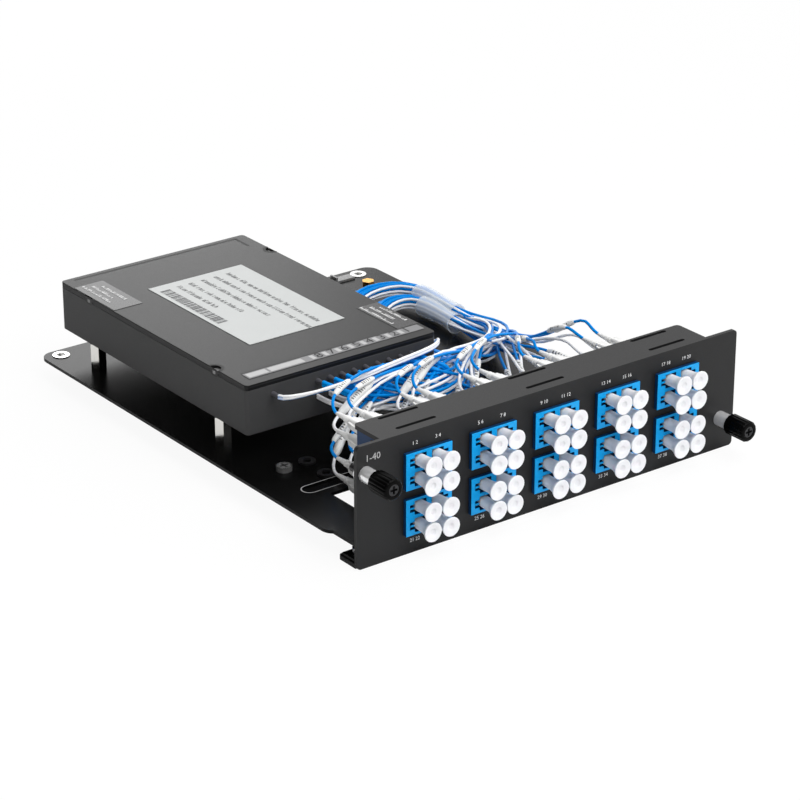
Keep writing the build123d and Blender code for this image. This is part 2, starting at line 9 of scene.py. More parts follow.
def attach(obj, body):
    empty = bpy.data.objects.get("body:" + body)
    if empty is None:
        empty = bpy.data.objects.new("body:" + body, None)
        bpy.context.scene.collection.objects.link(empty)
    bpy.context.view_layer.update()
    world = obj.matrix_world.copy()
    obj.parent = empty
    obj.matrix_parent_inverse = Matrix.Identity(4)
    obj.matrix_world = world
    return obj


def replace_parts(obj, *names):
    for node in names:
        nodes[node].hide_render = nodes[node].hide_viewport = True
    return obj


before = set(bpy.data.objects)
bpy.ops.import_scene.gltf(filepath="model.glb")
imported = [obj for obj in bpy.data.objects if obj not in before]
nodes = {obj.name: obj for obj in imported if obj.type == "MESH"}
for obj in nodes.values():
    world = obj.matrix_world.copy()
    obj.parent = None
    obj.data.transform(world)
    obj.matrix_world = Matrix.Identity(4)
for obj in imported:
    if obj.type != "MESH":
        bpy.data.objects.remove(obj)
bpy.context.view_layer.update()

MM = 0.001
rng = np.random.default_rng(40)


# Camera at the photograph's angle
def set_camera():
    """A long lens from the left front, about 24 degrees above the level."""
    data = bpy.data.cameras.new("photo_camera")
    data.lens = 134.136
    data.sensor_width = 36.0
    camera = bpy.data.objects.new("photo_camera", data)
    camera.location = (-0.58193, -0.69050, 0.41494)
    camera.rotation_euler = (math.radians(66.14), 0.0, math.radians(-36.93))
    bpy.context.scene.collection.objects.link(camera)
    bpy.context.scene.camera = camera


set_camera()


# Materials
def finish(name, colour, rough, metal=0.0, tint=0.06, patch=6.0, grain=0.35, depth=0.0, spread=0.05,
           scatter=0.0, ior=1.5, alpha=1.0):
    """A moulded, painted or plated finish. Broad patches change the colour by the share tint either way, fine
    grain changes the roughness by spread and the height by depth. patch, grain and depth are in millimetres.
    """
    material = bpy.data.materials.new(name)
    material.use_nodes = True
    tree = material.node_tree
    shader = tree.nodes["Principled BSDF"]
    shader.inputs["Metallic"].default_value = metal
    shader.inputs["IOR"].default_value = ior
    shader.inputs["Alpha"].default_value = alpha
    if scatter:
        shader.inputs["Subsurface Weight"].default_value = scatter
        shader.inputs["Subsurface Radius"].default_value = (0.0016, 0.0014, 0.0015)
        shader.inputs["Subsurface Scale"].default_value = 1.0
    place = tree.nodes.new("ShaderNodeTexCoord")
    broad = tree.nodes.new("ShaderNodeTexNoise")
    broad.inputs["Scale"].default_value = 1.0 / (patch * MM)
    broad.inputs["Detail"].default_value = 3.0
    fine = tree.nodes.new("ShaderNodeTexNoise")
    fine.inputs["Scale"].default_value = 1.0 / (grain * MM)
    fine.inputs["Detail"].default_value = 2.0
    tree.links.new(place.outputs["Object"], broad.inputs["Vector"])
    tree.links.new(place.outputs["Object"], fine.inputs["Vector"])
    mix = tree.nodes.new("ShaderNodeMix")
    mix.data_type = "RGBA"
    dark = [max(0.0, c * (1 - tint)) for c in colour]
    light = [min(1.0, c * (1 + tint)) for c in colour]
    mix.inputs["A"].default_value = (*dark, 1.0)
    mix.inputs["B"].default_value = (*light, 1.0)
    tree.links.new(broad.outputs["Fac"], mix.inputs["Factor"])
    tree.links.new(mix.outputs["Result"], shader.inputs["Base Color"])
    gloss = tree.nodes.new("ShaderNodeMapRange")
    gloss.inputs["From Min"].default_value = 0.3
    gloss.inputs["From Max"].default_value = 0.7
    gloss.inputs["To Min"].default_value = max(0.02, rough - spread)
    gloss.inputs["To Max"].default_value = min(1.0, rough + spread)
    tree.links.new(fine.outputs["Fac"], gloss.inputs["Value"])
    tree.links.new(gloss.outputs["Result"], shader.inputs["Roughness"])
    if depth:
        bump = tree.nodes.new("ShaderNodeBump")
        bump.inputs["Strength"].default_value = 0.6
        bump.inputs["Distance"].default_value = depth * MM
        tree.links.new(fine.outputs["Fac"], bump.inputs["Height"])
        tree.links.new(bump.outputs["Normal"], shader.inputs["Normal"])
    return material


powder_black = finish("powder_coat_black", (0.010, 0.010, 0.0105), 0.48, patch=9, grain=0.22, depth=0.012,
                      ior=1.34)
tray_gloss = finish("tray_gloss_black", (0.002, 0.002, 0.002), 0.26, patch=14, grain=1.6, spread=0.01,
                    ior=1.22)
box_satin = finish("box_satin_black", (0.052, 0.052, 0.053), 0.58, patch=12, grain=0.3, depth=0.014, ior=1.3)
lid_satin = finish("lid_satin_black", (0.009, 0.009, 0.0093), 0.38, patch=15, grain=0.25, depth=0.010,
                   ior=1.25)
adapter_blue = finish("adapter_blue", (0.001, 0.34, 0.78), 0.38, tint=0.10, patch=2.5, grain=0.3, depth=0.004,
                      ior=1.33)
# Painted shade: a dark navy for the inside of the front ports
navy_painted_port_shade = finish("navy_painted_port_shade", (0.002, 0.012, 0.075), 0.5, tint=0.2, patch=2.0)
cap_milk = finish("cap_milk_white", (0.77, 0.77, 0.79), 0.55, tint=0.02, patch=2.0, grain=0.5, depth=0.006,
                  scatter=0.6, ior=1.35)
plug_white = finish("plug_white", (0.82, 0.82, 0.81), 0.35, tint=0.04, patch=3.0)
boot_white = finish("boot_white", (0.84, 0.84, 0.83), 0.5, tint=0.04, patch=2.0)
steel_bright = finish("steel_bright", (0.88, 0.88, 0.89), 0.18, metal=0.6, tint=0.08, patch=1.2, grain=0.12)
nickel = finish("nickel_plate", (0.70, 0.69, 0.66), 0.14, metal=1.0, tint=0.06, patch=3.0, grain=0.15)
zinc = finish("zinc_plate", (0.55, 0.55, 0.56), 0.34, metal=1.0, tint=0.10, patch=1.0, grain=0.2, depth=0.004)
tin = finish("tin_plate", (0.82, 0.82, 0.80), 0.28, metal=1.0, tint=0.05, patch=1.5, grain=0.2)
brass = finish("turned_brass", (0.80, 0.42, 0.09), 0.26, metal=1.0, tint=0.10, patch=1.5, grain=0.2)
knob_black = finish("knob_gloss_black", (0.001, 0.001, 0.001), 0.20, tint=0.1, patch=2.0, grain=0.3, ior=1.14)
worn_grey = finish("worn_grey_steel", (0.22, 0.22, 0.22), 0.4, metal=0.5, tint=0.5, patch=1.5, grain=0.3)
oxide_black = finish("oxide_black_steel", (0.025, 0.025, 0.027), 0.30, metal=0.6, tint=0.1, patch=1.0,
                     grain=0.2)
nylon = finish("nylon_natural", (0.70, 0.68, 0.62), 0.45, tint=0.05, patch=2.0)
tip_grey = finish("tip_dark_rubber", (0.075, 0.075, 0.085), 0.55, tint=0.12, patch=1.0, grain=0.2, depth=0.01)
label_pale = finish("label_pale_film", (0.50, 0.515, 0.51), 0.50, tint=0.03, patch=8.0, grain=0.6,
                    depth=0.002)
strip_grey = finish("strip_grey_film", (0.19, 0.19, 0.195), 0.5, tint=0.05, patch=3.0)
tile_grey = finish("strip_tile_pale", (0.44, 0.44, 0.44), 0.5, tint=0.05, patch=3.0)
seal_grey = finish("seal_grey_film", (0.026, 0.026, 0.027), 0.28, tint=0.08, patch=4.0, ior=1.32)
ink_dark = finish("ink_dark", (0.09, 0.09, 0.095), 0.6, tint=0.1)
ink_white = finish("ink_white", (0.78, 0.78, 0.78), 0.6, tint=0.05)
# Pale ink for the port range, and a painted highlight along the tray recess's rim
pale_ink_and_highlight = finish("pale_ink_and_highlight", (0.42, 0.42, 0.42), 0.6, tint=0.05)
# Black for painted shade in the lid's grooves and notches and in the loose screw's cross recess, and for the
# strip's numbers and the seam between lid and base
shade_print_and_seam_black = finish("shade_print_and_seam_black", (0.003, 0.003, 0.003), 0.6, tint=0.1)
fibre_blue = finish("fibre_blue", (0.0, 0.25, 0.74), 0.32, tint=0.18, patch=9.0, grain=0.8, ior=1.15)
# Partly painted light: a lighter blue than the fibres', so that the outlet tubes read bright though they sit
# in shade
tube_blue_painted_light = finish("tube_blue_painted_light", (0.0, 0.30, 0.85), 0.32, tint=0.10, patch=5.0, grain=0.8, ior=1.2)
fibre_white = finish("fibre_white", (0.93, 0.93, 0.94), 0.34, tint=0.03, patch=9.0, grain=0.8)
sleeve_clear = finish("sleeve_clear", (0.90, 0.95, 1.0), 0.22, tint=0.04, patch=4.0, alpha=0.32)
marker_white = finish("marker_white", (0.84, 0.84, 0.82), 0.48, tint=0.03, patch=2.0, grain=0.4, depth=0.01)


def darker_band(material, shade, middle, half):
    """Turn a finish to another shade where |y - middle| is at most half, both in millimetres."""
    tree = material.node_tree
    shader = tree.nodes["Principled BSDF"]
    before = shader.inputs["Base Color"].links[0].from_socket
    place = tree.nodes.new("ShaderNodeTexCoord")
    split = tree.nodes.new("ShaderNodeSeparateXYZ")
    tree.links.new(place.outputs["Object"], split.inputs["Vector"])
    step = tree.nodes.new("ShaderNodeMath")
    step.operation = "COMPARE"
    step.inputs[1].default_value = middle * MM
    step.inputs[2].default_value = half * MM
    tree.links.new(split.outputs["Y"], step.inputs[0])
    mix = tree.nodes.new("ShaderNodeMix")
    mix.data_type = "RGBA"
    tree.links.new(step.outputs["Value"], mix.inputs["Factor"])
    tree.links.new(before, mix.inputs["A"])
    mix.inputs["B"].default_value = (*shade, 1.0)
    tree.links.new(mix.outputs["Result"], shader.inputs["Base Color"])


# The adapters lie in the panel's shade from just behind their collars' faces to their back ends
darker_band(adapter_blue, (0.001, 0.035, 0.120), middle=13.5, half=16.45)


def paint(name, material):
    """Give a CAD node its finish."""
    for place in nodes[name].material_slots:
        place.material = material


# Meshes from numpy arrays
sharp_angle = math.radians(40.0)
rounded_angle = math.radians(38.0)
flat_angle = math.radians(1.0)
weld_distance = 2e-6


def piece(name, points, faces, material, body="module", slot=None):
    """A mesh object that rides on a body: points in millimetres, faces as rows of corner numbers."""
    mesh = bpy.data.meshes.new(name)
    mesh.from_pydata((np.asarray(points, float).reshape(-1, 3) * MM).tolist(), [], faces)
    mesh.polygons.foreach_set("use_smooth", np.ones(len(mesh.polygons), bool))
    mesh.set_sharp_from_angle(angle=sharp_angle)
    mesh.materials.append(material)
    mesh.update()
    thing = bpy.data.objects.new(name, mesh)
    bpy.context.scene.collection.objects.link(thing)
    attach(thing, body)
    return thing


def ring_faces(rings, around, tube=False):
    """Corner rows of the quads between following rings. Each end is closed by a flat face, but in a tube the
    last ring is joined to the first."""
    i, j = np.meshgrid(np.arange(rings if tube else rings - 1), np.arange(around), indexing="ij")
    ring, after = i * around, (i + 1) % rings * around
    beside = (j + 1) % around
    faces = np.stack([ring + j, ring + beside, after + beside, after + j], -1).reshape(-1, 4).tolist()
    if not tube:
        faces.append(list(range(around - 1, -1, -1)))
        faces.append(list(range((rings - 1) * around, rings * around)))
    return faces


def joined(shapes):
    """Many shapes (points, faces) as one: the corner numbers of each go on from those of the last."""
    clouds, rows, count = [], [], 0
    for points, faces in shapes:
        cloud = np.asarray(points, float).reshape(-1, 3)
        clouds.append(cloud)
        rows += [[corner + count for corner in row] for row in faces]
        count += len(cloud)
    return np.concatenate(clouds), rows


def repeated(points, faces, places):
    """One shape at many places."""
    return joined([(np.asarray(points, float) + place, faces) for place in places])


def turned_y(profile, around):
    """A turned shape about Y: each profile row is (y, r); point = (r cos a, y, r sin a), a running round."""
    profile = np.asarray(profile, float)
    angle = -np.arange(around) / around * 2 * math.pi
    y, radius = np.repeat(profile.T[..., None], around, 2)
    points = np.stack([radius * np.cos(angle), y, radius * np.sin(angle)], -1)
    return points, ring_faces(len(profile), around)


def vertex_rows(mesh):
    """A mesh's vertices as an array of rows (x, y, z)."""
    flat = np.zeros(len(mesh.vertices) * 3)
    mesh.vertices.foreach_get("co", flat)
    return flat.reshape(-1, 3)


def read_curve(data):
    """The vertices and corner rows that a curve or a text gives. Nothing of it stays in the scene."""
    holder = bpy.data.objects.new("reading", data)
    bpy.context.scene.collection.objects.link(holder)
    bpy.context.view_layer.update()
    mesh = bpy.data.meshes.new_from_object(holder)
    points, faces = vertex_rows(mesh), [list(p.vertices) for p in mesh.polygons]
    bpy.data.objects.remove(holder)
    bpy.data.meshes.remove(mesh)
    return points, faces


def softened(name, width, material, segments=2):
    """The CAD node's own solid with its edges rounded by width millimetres, shown in its place."""
    mesh = nodes[name].data.copy()
    mesh.materials.clear()
    work = bmesh.new()
    work.from_mesh(mesh)
    bmesh.ops.remove_doubles(work, verts=work.verts, dist=weld_distance)
    bmesh.ops.dissolve_limit(work, angle_limit=flat_angle, verts=work.verts, edges=work.edges)
    work.to_mesh(mesh)
    work.free()
    mesh.materials.append(material)
    mesh.polygons.foreach_set("use_smooth", np.ones(len(mesh.polygons), bool))
    thing = bpy.data.objects.new("soft_" + name, mesh)
    bpy.context.scene.collection.objects.link(thing)
    bevel = thing.modifiers.new("rounding", "BEVEL")
    bevel.width = width * MM
    bevel.segments = segments
    bevel.limit_method = "ANGLE"
    bevel.angle_limit = rounded_angle
    even = thing.modifiers.new("even_shading", "WEIGHTED_NORMAL")
    even.keep_sharp = True
    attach(thing, "module")
    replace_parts(thing, name)


def lettering(name, words, places, height, material, tilt=0.0, lift=0.03):
    """Plain numbers as flat meshes, lift millimetres off a surface that is tilted about X by tilt degrees."""
    size_for_height = 1.4
    spin = np.array(Matrix.Rotation(math.radians(tilt), 3, "X"))
    shapes = []
    for word, place in zip(words, places):
        text = bpy.data.curves.new("figure", "FONT")
        text.body = word
        text.size = height * size_for_height
        text.align_x = "CENTER"
        text.align_y = "CENTER"
        text.resolution_u = 2
        points, faces = read_curve(text)
        points[:, 2] += lift
        shapes.append((points @ spin.T + place, faces))
    piece(name, *joined(shapes), material)


def flat_bars(name, bars, z, material, lift=0.02, thick=0.03):
    """Thin bars on a level surface at z: each is a row (x0, x1, y0, y1), lift above it and thick high."""
    x0, x1, y0, y1 = np.asarray(bars, float).T
    low = np.full(len(bars), z + lift)
    high = low + thick
    corners = [(x0, y0, low), (x1, y0, low), (x1, y1, low), (x0, y1, low),
               (x0, y0, high), (x1, y0, high), (x1, y1, high), (x0, y1, high)]
    blocks = np.stack([np.stack(c, -1) for c in corners], 1)
    sides = [[3, 2, 1, 0], [4, 5, 6, 7], [0, 1, 5, 4], [1, 2, 6, 5], [2, 3, 7, 6], [3, 0, 4, 7]]
    return piece(name, *joined([(block, sides) for block in blocks]), material)


# Places that repeat the part's own sizes, in millimetres
columns = 5
row_names = ("upper", "lower")
block_pitch = 26.7
row_pitch = 16.34
port_x = 3.45
port_z = 3.125
collar_front = -3.1
panel_face = -1.5
boot_tip = 42.9
tray_top = -13.15
box_x0, box_x1, box_y0, box_y1, box_z0, box_top = -73.9, 6.1, 71.0, 191.0, -2.8, 15.6
outlet_x = [box_x0 + 10.8] + [box_x0 + 29.2 + 5.0 * i for i in range(9)]
outlet_z = box_z0 + 13.0
tip_length = 3.4
knob_back = -7.5
knob_length = 9.2
thumbscrews = {"left": (-77.7, 11.7), "right": (74.8, -10.0)}


def block_centres():
    """(row, column, x, z) of the ten adapter blocks."""
    return [(r, c, (c - 2) * block_pitch, (0.5 - r) * row_pitch) for r in range(2) for c in range(columns)]


def ports(rows=(0, 1)):
    """(column, index, x, z, side) of the ports in those rows. side is -1 or 1, left or right in the block."""
    found = []
    for row, column, x, z in block_centres():
        for index, (side, level) in enumerate(((-1, 1), (-1, -1), (1, 1), (1, -1))):
            if row in rows:
                found.append((column, index, x + side * port_x, z + level * port_z, side))
    return found


# Harness: each row is a distance right of the box's right side, back from its front and up from the tray
upper_route = np.array([
    (-50.1, -18.0, 16.65), (-18.1, -19.5, 16.15), (-0.1, -15.0, 16.15), (8.1, 1.0, 14.65), (8.4, 27.0, 10.15),
    (9.9, 57.0, 5.15), (18.9, 81.0, 3.65), (35.9, 93.5, 4.9), (54.0, 84.5, 6.3), (51.4, 53.0, 5.15)])
lower_route = np.array([
    (-44.1, -17.0, 10.65), (-14.1, -18.0, 10.15), (2.9, -13.0, 9.15), (13.9, 4.0, 8.15), (14.4, 27.0, 3.35),
    (16.4, 53.0, 2.75), (24.9, 71.0, 2.75), (38.2, 81.5, 3.6), (50.0, 75.0, 4.5), (46.4, 47.0, 4.45)])
input_route = np.array([(-45.1, -11.5, 24.15), (-26.1, -10.0, 25.65), (-4.1, -6.0, 25.15), (5.6, 6.0, 22.15)])
route_datum = np.array((box_x1, box_y0, tray_top))
upper_route = upper_route + route_datum
lower_route = lower_route + route_datum
input_route = input_route + route_datum
front_slack = np.array([2.3, 2.3, 1.9, 1.2, 1.2, 1.2, 1.25, 1.3, 1.1, 1.0])
row_strands = 20
strand_gap = 1.0
strand_twist = 0.5
golden_angle = 2.39996
fibre_width = 1.1
white_drop = 5.9
swapped_pairs = (1, 4, 7, 9)


def around_route(route, slack):
    """Routes of a row's strands, packed in a round bundle: strand i stands off the route by gap/1.9 times the
    root of i + 0.3 and times the slack there, turned by the golden angle from strand to strand and by the
    twist from point to point."""
    way = np.gradient(route, axis=0)
    way /= np.linalg.norm(way, axis=1, keepdims=True)
    side = np.cross(way, (0.0, 0.0, 1.0))
    side /= np.linalg.norm(side, axis=1, keepdims=True)
    up = np.cross(side, way)
    i = np.arange(row_strands)
    radius = strand_gap / 1.9 * np.sqrt(i + 0.3)
    turn = (i * golden_angle)[:, None] + (np.arange(len(route)) * strand_twist)[None]
    reach = radius[:, None] * slack[None]
    wheel = np.cos(turn)[..., None] * side[None] + np.sin(turn)[..., None] * up[None]
    return route[None] + reach[..., None] * wheel


def fan_points(column, x, z, index, mouth):
    """From a boot back to its bundle's mouth: out and up, across behind the panel and round into the mouth.
    Each stop is a place, how far the fibre may stray from it and which of four random draws it strays by."""
    spread = (index - 1.5) * 1.2
    lane = (column - 2) * 1.1
    across = mouth[0] + lane - x
    stray = rng.uniform(-1, 1, (4, 3))
    rise = ((x + 0.03 * across, boot_tip + 7.0, z + 3.0), (1.2, 1.5, 1.2), 0)
    gather = ((mouth[0] + lane + 0.5, mouth[1] - 27.0, mouth[2] + spread + 2.0), (4, 6, 3), 3)
    if across > 45:
        stops = [rise,
                 ((x + 0.3 * across, boot_tip + 18.0, 0.2 * z + 11.0), (5, 2.5, 2.5), 1),
                 ((x + 0.63 * across, boot_tip + 27.0 + lane, 0.15 * z + 4.5 + spread), (7, 3.5, 3.5), 2),
                 gather]
    elif across > 20:
        stops = [rise,
                 ((x + 0.58 * across, boot_tip + 33.5 + lane, 0.15 * z + 1.5 + spread), (7, 3.5, 3.5), 2),
                 gather]
    else:
        stops = [((x - 1.0, boot_tip + 10.5, z + 3.0), (1.2, 2, 1.2), 0),
                 ((x - 3.0, boot_tip + 28.0, 0.3 * z - 2.0), (3, 4, 2), 1),
                 ((mouth[0] - 4.5, mouth[1] - 31.0, mouth[2] + spread + 2.5), (3, 5, 2), 2)]
    strayed = [tuple(np.array(place) + stray[draw] * reach) for place, reach, draw in stops]
    return [(x, boot_tip, z), (x, boot_tip + 2.5, z + 0.2)] + strayed


def strand_points():
    """(colour, number in its row, control points) of the forty fibres, each whole from its boot through its
    bundle to its outlet. Blue ones take the outer places of a bundle and white ones the inner, apart from the
    swapped pairs. The first outlet's fibres leave the bundle early and cross above the others."""
    found = []
    for row, route in ((0, upper_route), (1, lower_route)):
        packed = around_route(route, front_slack)
        for number, (column, index, x, z, side) in enumerate(ports([row])):
            colour = "blue" if index % 2 == 0 else "white"
            pair = number // 2
            outer = (colour == "blue") != (pair in swapped_pairs)
            way_back = packed[pair + (row_strands // 2 if outer else 0)][::-1]
            outlet = 2 * column + index // 2
            ox = outlet_x[outlet]
            oz = outlet_z + (0.45 - 0.9 * row)
            if outlet == 0:
                shift = np.array((0, -0.5, 0.9)) if colour == "white" else np.array((0, 0.4, 0))
                keep = np.concatenate([way_back[:6], input_route[::-1] + shift + (0, 0, 0.9 * row)])
                tail = [(ox, box_y0 - 7.0, oz), (ox, box_y0 - tip_length, oz)]
            else:
                oz -= 0.0 if colour == "blue" else white_drop
                join = min(ox + 20.0, route[2][0])
                beside_box = way_back[:, 1] >= box_y0 + 0.5
                back, front = way_back[beside_box], way_back[~beside_box]
                keep = np.concatenate([back, front[front[:, 0] > join - 4.0]])
                turn = min(9.0, (join - ox) / 2)
                end = box_y0 - tip_length if colour == "blue" else box_y0 + 0.2
                sway = rng.uniform(-1, 1, 3) * (1.5, 1.2, 1.0)
                tail = [(ox + turn + sway[0], box_y0 - 14.0 + sway[1], oz - 3.6 + sway[2]),
                        (ox + 1.2, box_y0 - 8.0, oz - 0.2), (ox, box_y0 - 5.6, oz), (ox, end, oz)]
            points = fan_points(column, x, z, index, route[-1]) + keep.tolist() + tail
            found.append((colour, number, np.array(points, float)))
    return found


def add_spline(data, line, steps):
    """A smooth spline of order three from end to end of its control points."""
    spline = data.splines.new("NURBS")
    spline.points.add(len(line) - 1)
    flat = np.concatenate([line, np.ones((len(line), 1))], 1)
    spline.points.foreach_set("co", flat.ravel())
    spline.order_u = 3
    spline.use_endpoint_u = True
    spline.resolution_u = steps
    spline.use_smooth = True


def fibre_curve(name, lines, material, sides=2, steps=4):
    """Round fibres along the splines that their control points give."""
    data = bpy.data.curves.new(name, "CURVE")
    data.dimensions = "3D"
    data.bevel_depth = fibre_width / 2 * MM
    data.bevel_resolution = sides
    data.use_fill_caps = True
    data.resolution_u = steps
    for line in lines:
        add_spline(data, line * MM, steps)
    data.materials.append(material)
    thing = bpy.data.objects.new(name, data)
    bpy.context.scene.collection.objects.link(thing)
    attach(thing, "module")
    return thing


def smooth_line(line, steps=8):
    """Points read from the spline that those control points give, in millimetres."""
    data = bpy.data.curves.new("reading", "CURVE")
    data.dimensions = "3D"
    data.resolution_u = steps
    add_spline(data, line, steps)
    return read_curve(data)[0]


def along(line, start, length, steps):
    """A stretch of a line by its running length: evenly spaced points and their directions."""
    run = np.concatenate([[0], np.cumsum(np.linalg.norm(np.diff(line, axis=0), axis=1))])
    at = np.linspace(start, start + length, steps)
    points = np.stack([np.interp(at, run, line[:, i]) for i in range(3)], -1)
    way = np.gradient(points, axis=0)
    way /= np.linalg.norm(way, axis=1, keepdims=True)
    return points, way


def sheath(points, way, radii, around, inner=None):
    """A sleeve round a line: each ring = its centre + r (cos a aside + sin a up), a running a full turn. With
    inner radii it is a tube with a bore, else its ends are closed."""
    aside = np.cross(way, (0.13, 0.21, 0.97))
    aside /= np.linalg.norm(aside, axis=1, keepdims=True)
    up = np.cross(aside, way)
    angle = np.arange(around) / around * 2 * math.pi
    circle = np.cos(angle)[None, :, None] * aside[:, None] + np.sin(angle)[None, :, None] * up[:, None]
    outer = points[:, None] + np.asarray(radii, float)[:, None, None] * circle
    if inner is None:
        return outer, ring_faces(len(points), around)
    bore = (points[:, None] + np.asarray(inner, float)[:, None, None] * circle)[::-1]
    return np.concatenate([outer, bore], 0), ring_faces(2 * len(points), around, tube=True)


strands = strand_points()
blue_lines = [line for colour, number, line in strands if colour == "blue"]
white_lines = [line for colour, number, line in strands if colour == "white"]
blue_harness = fibre_curve("blue_harness", blue_lines, fibre_blue)
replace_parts(blue_harness, "blue_fibres", "upper_bundle", "blue_tails", "input_fibres")
white_harness = fibre_curve("white_harness", white_lines, fibre_white)
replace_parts(white_harness, "white_fibres", "lower_bundle", "white_tails")


def marker_sleeves():
    """A white marker sleeve on each blue fibre and a larger one on six white ones, a little way from the
    boot, rounded in at its ends. Its marks are patches just outside its wall, on the side that faces up and
    forward: point = centre + (radius + 0.02) (cos a out + sin a aside), a within about half a radian."""
    sleeves, marks = [], []
    rings = 12
    facing = np.array((-0.55, -0.55, 0.63))
    for order, (colour, number, line) in enumerate(strands):
        large = colour == "white" and number in (1, 5, 7)
        if colour == "white" and not large:
            continue
        read = smooth_line(line)
        radius, length, start = (1.5, 20.0, 7.0) if large else (1.05, 11.0, 9.0)
        start += 2.0 * (order % 4)
        points, way = along(read, start, length, rings)
        radii = np.full(rings, radius)
        radii[[0, -1]] = radius * 0.6
        radii[[1, -2]] = radius * 0.94
        sleeves.append(sheath(points, way, radii, 14))
        for share in np.arange(0.28, 0.78, 1.15 / length):
            width = rng.uniform(0.25, 0.6)
            spot, heading = along(read, start + length * share, width, 2)
            aside = np.cross(heading, facing)
            aside /= np.linalg.norm(aside, axis=1, keepdims=True)
            out = np.cross(aside, heading)
            turn = np.linspace(-0.55, 0.55, 4) * rng.choice([0.6, 1.0, 1.0])
            cosine, sine = np.cos(turn)[None, :, None], np.sin(turn)[None, :, None]
            patch = spot[:, None] + (radius + 0.02) * (cosine * out[:, None] + sine * aside[:, None])
            marks.append((patch, [[i, i + 1, i + 5, i + 4] for i in range(3)]))
    markers = piece("fibre_markers", *joined(sleeves), marker_white)
    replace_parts(markers, "marker_sleeves")
    piece("marker_print", *joined(marks), ink_dark)


marker_sleeves()


def clear_sleeves():
    """Two soft clear tubes over the bundles where they turn forward, open at both ends. Their radius swells
    and shrinks along them by a sine."""
    shapes = []
    wall = 0.35
    before_mouth = 0.8
    for route, length in ((upper_route, 24.0), (lower_route, 22.0)):
        read = smooth_line(route)
        total = np.linalg.norm(np.diff(read, axis=0), axis=1).sum()
        points, way = along(read, total - length - before_mouth, length, 18)
        outer = 3.75 + 0.3 * np.sin(np.linspace(0.5, 7.0, 18))
        shapes.append(sheath(points, way, outer, 20, outer - wall))
    tubes = piece("soft_clear_tubes", *joined(shapes), sleeve_clear)
    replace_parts(tubes, "clear_sleeves")


clear_sleeves()


def outlet_tubes():
    """A blue tube round each blue fibre where it leaves the box, apart from the first outlet's, and a grey
    tip turned about Y at each outlet."""
    tubes = []
    for colour, number, line in strands:
        if colour == "white" or number == 0:
            continue
        points, way = along(smooth_line(line)[::-1], 0.1, 13.0, 10)
        radii = np.full(10, 0.8)
        radii[-1] = 0.6
        tubes.append(sheath(points, way, radii, 12))
    # The tubes' lighter blue is partly painted light
    piece("outlet_tubes", *joined(tubes), tube_blue_painted_light)
    tip = box_y0 - tip_length
    profile = [(tip, 0.001), (tip, 0.62), (box_y0 - 2.2, 0.72), (box_y0 - 1.0, 0.85), (box_y0, 0.95),
               (box_y0, 0.001)]
    cloud, rows = repeated(*turned_y(profile, 14), [(x, 0.0, outlet_z) for x in outlet_x])
    tips = piece("grey_tips", cloud, rows, tip_grey)
    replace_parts(tips, "outlet_tips")


outlet_tubes()


# Front panel, tray and adapters
softened("front_panel", 0.45, powder_black, 3)
softened("tray_plate", 0.2, tray_gloss)
softened("box_base", 0.35, box_satin, 3)
softened("box_lid", 0.35, lid_satin, 2)
for row_name in row_names:
    for column in range(1, columns + 1):
        softened(f"adapters_{row_name}_{column}", 0.12, adapter_blue, 1)


def rear_plugs():
    """Connector bodies along Y: rounded squares x = w |cos a|^0.45, z = 1.02 w |sin a|^0.45 that narrow
    towards the boot, each with a bowed latch arm on its outer side."""
    around = 20
    angle = -(np.arange(around) + 0.5) / around * 2 * math.pi
    wide = np.sign(np.cos(angle)) * np.abs(np.cos(angle)) ** 0.45
    high = np.sign(np.sin(angle)) * np.abs(np.sin(angle)) ** 0.45
    profile = np.array([(14.5, 2.15), (24.6, 2.15), (24.9, 2.25), (29.6, 2.25), (30.4, 2.0), (32.6, 1.9),
                        (33.0, 1.72), (34.6, 1.62), (34.9, 1.4)])
    y, reach = np.repeat(profile.T[..., None], around, 2)
    body = np.stack([reach * wide, y, reach * high * 1.02], -1)
    body_faces = ring_faces(len(profile), around)
    arm = np.array([(22.9, 2.2), (22.9, 2.6), (24.5, 2.95), (27.0, 3.12), (30.5, 3.05), (33.2, 2.5),
                    (33.4, 1.7)])
    corners = len(arm)
    low = list(range(corners))
    wall = [[i, j, corners + j, corners + i] for i, j in zip(low, low[1:] + low[:1])]
    left_arm = [low[::-1], [corners + i for i in low]] + wall
    arm_faces = {-1: left_arm, 1: [row[::-1] for row in left_arm]}
    for row, row_name in enumerate(row_names):
        places = [(x, 0.0, z) for column, index, x, z, side in ports([row])]
        shapes = [repeated(body, body_faces, places)]
        for column, index, x, z, side in ports([row]):
            levels = [np.stack([x + side * arm[:, 1], arm[:, 0], np.full(corners, z + level)], -1)
                      for level in (-0.9, 0.9)]
            shapes.append((np.concatenate(levels), arm_faces[side]))
        plugs = piece(f"plugs_{row_name}", *joined(shapes), plug_white)
        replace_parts(plugs, f"rear_plugs_{row_name}")


rear_plugs()


def rear_boots():
    """Soft boots turned about Y: a collar at the plug, two ribs, then a cone down to the fibre."""
    profile = [(33.35, 0.001), (33.35, 1.45), (34.6, 1.5), (34.8, 1.25), (35.4, 1.25), (35.6, 1.42),
               (36.2, 1.38), (36.4, 1.15), (37.0, 1.13), (37.2, 1.3), (37.8, 1.26), (38.0, 1.03),
               (42.6, 0.68), (42.9, 0.55), (42.9, 0.001)]
    points, faces = turned_y(profile, 12)
    for row, row_name in enumerate(row_names):
        places = [(x, 0.0, z) for column, index, x, z, side in ports([row])]
        cloud, rows = repeated(points, faces, places)
        boots = piece(f"boots_{row_name}", cloud, rows, boot_white, slot="boot_white")
        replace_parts(boots, f"rear_boots_{row_name}")


rear_boots()


